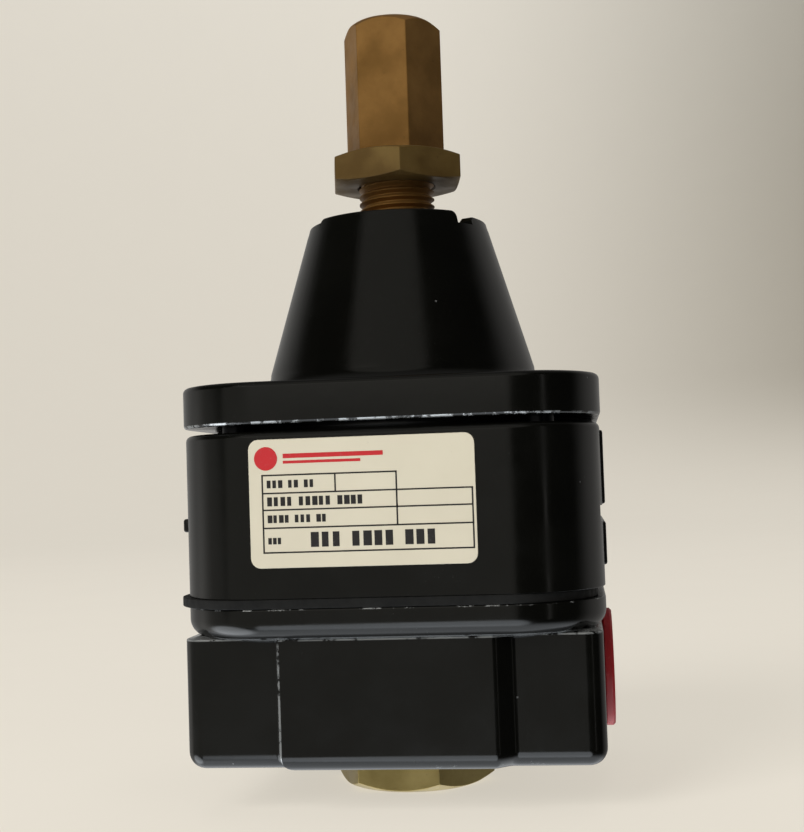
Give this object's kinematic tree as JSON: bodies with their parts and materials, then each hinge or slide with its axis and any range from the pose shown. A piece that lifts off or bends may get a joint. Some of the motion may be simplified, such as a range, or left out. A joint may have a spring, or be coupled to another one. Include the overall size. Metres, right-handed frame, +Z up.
{
  "type": "air pressure regulator",
  "caption": "Precision air pressure regulator: square cast body with side ports, cone bonnet, and a brass adjusting screw with a lock nut on top.",
  "frame": {"origin": "centre of the bottom plug's flat end face", "axes": "+Z up along the adjusting screw, +X towards the outlet port, -Y towards the labelled front"},
  "size_m": [0.0575, 0.0561, 0.1102],
  "materials": {
    "casting_paint": "semi-gloss black enamel over a zinc casting, worn at its edges",
    "adjuster_brass": "old brass with a warm brown patina",
    "plug_brass": "machined brass, lightly tarnished",
    "inner_brass": "clean machined brass",
    "steel": "zinc plated steel",
    "black_steel": "black oxide steel",
    "spring_steel": "drawn spring wire",
    "plate_aluminium": "turned aluminium",
    "rubber": "matt black synthetic rubber",
    "red_plastic": "soft red moulded polythene",
    "label_film": "aged cream label film with a printed black table"
  },
  "bodies": {
    "root": {"lower_body": "casting_paint", "middle_body": "casting_paint", "bonnet": "casting_paint", "rating_label": "label_film", "bottom_plug": "plug_brass", "bottom_plug_seal": "rubber", "valve_spring": "spring_steel", "relay_diaphragm": "rubber", "pilot_nozzle": "inner_brass", "pilot_restrictor": "inner_brass", "control_diaphragm": "rubber", "range_spring": "spring_steel", "corner_screw_1": "black_steel", "corner_screw_2": "black_steel", "corner_screw_3": "black_steel", "corner_screw_4": "black_steel", "gauge_port_plug": "steel"},
    "spring_rest": {"spring_rest": "steel"},
    "adjuster": {"adjusting_screw": "adjuster_brass"},
    "lock_nut": {"lock_nut": "adjuster_brass"},
    "control_stack": {"control_hub": "inner_brass", "control_lower_plate": "plate_aluminium", "control_upper_plate": "plate_aluminium", "control_nut": "steel"},
    "relay_stack": {"relay_hub": "inner_brass", "relay_lower_plate": "plate_aluminium", "relay_upper_plate": "plate_aluminium", "relay_nut": "steel"},
    "valve": {"main_valve": "inner_brass", "valve_disc": "rubber"},
    "outlet_plug": {"outlet_port_plug": "red_plastic"}
  },
  "joints": [
    {"name": "screw_travel", "type": "slide", "parent": "root", "child": "spring_rest", "axis": [0, 0, 1], "range_m": [-0.00529, 0.00212], "deforming": ["range_spring"]},
    {"name": "screw_turn", "type": "hinge", "parent": "spring_rest", "child": "adjuster", "pos_m": [0, 0, 0.09], "axis": [0, 0, 1], "range_deg": [-1800, 720]},
    {"name": "lock_nut_turn", "type": "hinge", "parent": "adjuster", "child": "lock_nut", "pos_m": [0, 0, 0.088], "axis": [0, 0, 1], "range_deg": [-1800, 0]},
    {"name": "control_travel", "type": "slide", "parent": "root", "child": "control_stack", "axis": [0, 0, 1], "range_m": [-0.0004, 0.0004], "stiffness_N_per_m": 1000, "springref_m": 0.0001},
    {"name": "relay_travel", "type": "slide", "parent": "root", "child": "relay_stack", "axis": [0, 0, 1], "range_m": [-0.0012, 0], "stiffness_N_per_m": 1000, "springref_m": 0.001},
    {"name": "valve_travel", "type": "slide", "parent": "root", "child": "valve", "axis": [0, 0, 1], "range_m": [-0.0012, 0], "deforming": ["valve_spring"]},
    {"name": "outlet_plug_pull", "type": "slide", "parent": "root", "child": "outlet_plug", "axis": [1, 0, 0], "range_m": [0, 0.02]}
  ],
  "couplings": [
    {"joint": "screw_turn", "follows": "screw_travel", "rad_per_m": 5936.9},
    {"joint": "valve_travel", "follows": "relay_travel", "ratio": 1}
  ]
}
